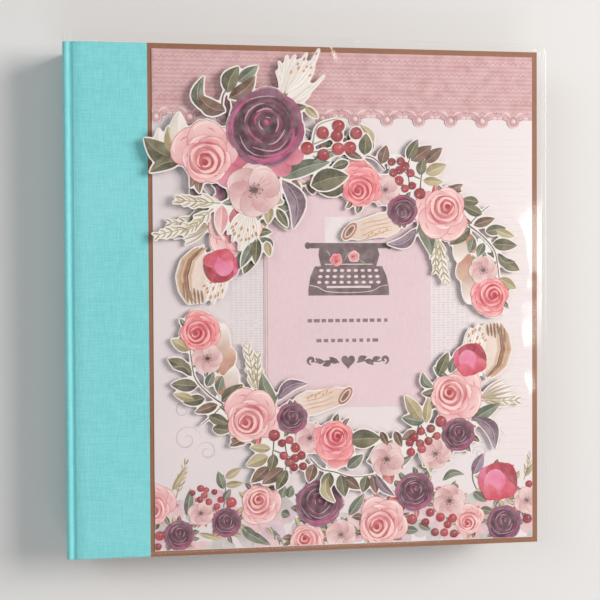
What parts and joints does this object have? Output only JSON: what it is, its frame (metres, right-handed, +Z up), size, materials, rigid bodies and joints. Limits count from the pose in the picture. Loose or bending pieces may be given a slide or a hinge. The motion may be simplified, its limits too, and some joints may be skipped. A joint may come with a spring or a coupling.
{
  "type": "scrapbook album",
  "caption": "Cloth-and-kraft bound scrapbook album with hinged covers and pages, pull-out tags, a raised paper flower wreath and a clear slip-on jacket.",
  "frame": {"origin": "middle of the back cover board, on the outer face of the jacket that the closed album rests on", "axes": "+X from the spine to the fore edge, +Y from the tail to the head, +Z up from the back cover to the front cover"},
  "size_m": [0.2722, 0.287, 0.0384],
  "materials": {
    "grey_board": "matte grey board",
    "turquoise_cloth": "woven book cloth",
    "kraft": "smooth kraft card",
    "cream_liner": "matte",
    "printed_panel": "printed paper, satin",
    "rose_lace": "embossed paper",
    "title_pink": "printed paper, satin",
    "die_cut": "printed and cut paper",
    "foam": "adhesive foam",
    "clear_film": "clear vinyl film",
    "gusset_kraft": "kraft card",
    "leaf_kraft": "kraft card",
    "mat_blush": "printed paper",
    "mat_sage": "printed paper",
    "mat_cream": "printed paper",
    "tape_white": "adhesive foam tape",
    "pocket_blue": "printed paper",
    "tag_cream": "smooth card"
  },
  "bodies": {
    "back_cover": {"back_board": "grey_board", "back_cloth": "turquoise_cloth", "back_kraft": "kraft", "back_liner": "cream_liner", "back_panel": "printed_panel", "jacket_back_sheet": "clear_film", "jacket_back_flap": "clear_film"},
    "spine": {"spine_board": "grey_board", "spine_cloth": "turquoise_cloth", "gusset_strip": "gusset_kraft", "jacket_spine": "clear_film"},
    "front_cover": {"front_board": "grey_board", "front_cloth": "turquoise_cloth", "front_kraft": "kraft", "front_liner": "cream_liner", "front_panel": "printed_panel", "lace_band": "rose_lace", "title_card": "title_pink", "wreath_foam_pads": "foam", "wreath_die_cut": "die_cut", "bouquet_foam_pads": "foam", "bouquet_die_cut": "die_cut", "jacket_front_sheet": "clear_film", "jacket_front_flap": "clear_film"},
    "page_1": {"page_1_tab": "gusset_kraft", "page_1_leaf": "leaf_kraft", "page_1_front_mat": "mat_blush", "page_1_back_mat": "mat_sage", "page_1_photo_mat": "mat_cream"},
    "page_2": {"page_2_tab": "gusset_kraft", "page_2_leaf": "leaf_kraft", "page_2_front_mat": "mat_blush", "page_2_back_mat": "mat_sage", "page_2_pocket_tape": "tape_white", "page_2_pocket": "pocket_blue"},
    "page_3": {"page_3_tab": "gusset_kraft", "page_3_leaf": "leaf_kraft", "page_3_front_mat": "mat_blush", "page_3_back_mat": "mat_sage", "page_3_photo_mat": "mat_cream"},
    "page_4": {"page_4_tab": "gusset_kraft", "page_4_leaf": "leaf_kraft", "page_4_front_mat": "mat_blush", "page_4_back_mat": "mat_sage", "page_4_photo_mat": "mat_cream"},
    "page_5": {"page_5_tab": "gusset_kraft", "page_5_leaf": "leaf_kraft", "page_5_front_mat": "mat_blush", "page_5_back_mat": "mat_sage", "page_5_pocket_tape": "tape_white", "page_5_pocket": "pocket_blue"},
    "page_6": {"page_6_tab": "gusset_kraft", "page_6_leaf": "leaf_kraft", "page_6_front_mat": "mat_blush", "page_6_back_mat": "mat_sage", "page_6_photo_mat": "mat_cream"},
    "page_2_tag": {"page_2_tag": "tag_cream"},
    "page_5_tag": {"page_5_tag": "tag_cream"}
  },
  "joints": [
    {"name": "front_cover_open", "type": "hinge", "parent": "spine", "child": "front_cover", "pos_m": [-0.1329, 0, 0.0315], "axis": [0, -1, 0], "range_deg": [0, 84]},
    {"name": "spine_tilt", "type": "hinge", "parent": "back_cover", "child": "spine", "pos_m": [-0.1329, 0, 0.0028], "axis": [0, -1, 0], "range_deg": [0, 84]},
    {"name": "page_1_turn", "type": "hinge", "parent": "spine", "child": "page_1", "pos_m": [-0.1316, 0, 0.0267], "axis": [0, -1, 0], "range_deg": [0, 60.02]},
    {"name": "page_2_turn", "type": "hinge", "parent": "spine", "child": "page_2", "pos_m": [-0.1316, 0, 0.0223], "axis": [0, -1, 0], "range_deg": [0, 36.02]},
    {"name": "page_3_turn", "type": "hinge", "parent": "spine", "child": "page_3", "pos_m": [-0.1316, 0, 0.0179], "axis": [0, -1, 0], "range_deg": [0, 12.02]},
    {"name": "page_4_turn", "type": "hinge", "parent": "spine", "child": "page_4", "pos_m": [-0.1316, 0, 0.0135], "axis": [0, -1, 0], "range_deg": [-12.02, 0]},
    {"name": "page_5_turn", "type": "hinge", "parent": "spine", "child": "page_5", "pos_m": [-0.1316, 0, 0.0091], "axis": [0, -1, 0], "range_deg": [-36.02, 0]},
    {"name": "page_6_turn", "type": "hinge", "parent": "spine", "child": "page_6", "pos_m": [-0.1316, 0, 0.0047], "axis": [0, -1, 0], "range_deg": [-60.02, 0]},
    {"name": "page_2_tag_slide", "type": "slide", "parent": "page_2", "child": "page_2_tag", "axis": [0, 1, 0], "range_m": [0, 0.12]},
    {"name": "page_5_tag_slide", "type": "slide", "parent": "page_5", "child": "page_5_tag", "axis": [0, 1, 0], "range_m": [0, 0.12]}
  ],
  "couplings": [
    {"joint": "spine_tilt", "follows": "front_cover_open", "ratio": 1},
    {"joint": "page_1_turn", "follows": "front_cover_open", "ratio": 0.7143},
    {"joint": "page_2_turn", "follows": "front_cover_open", "ratio": 0.4286},
    {"joint": "page_3_turn", "follows": "front_cover_open", "ratio": 0.1429},
    {"joint": "page_4_turn", "follows": "front_cover_open", "ratio": -0.1429},
    {"joint": "page_5_turn", "follows": "front_cover_open", "ratio": -0.4286},
    {"joint": "page_6_turn", "follows": "front_cover_open", "ratio": -0.7143}
  ]
}
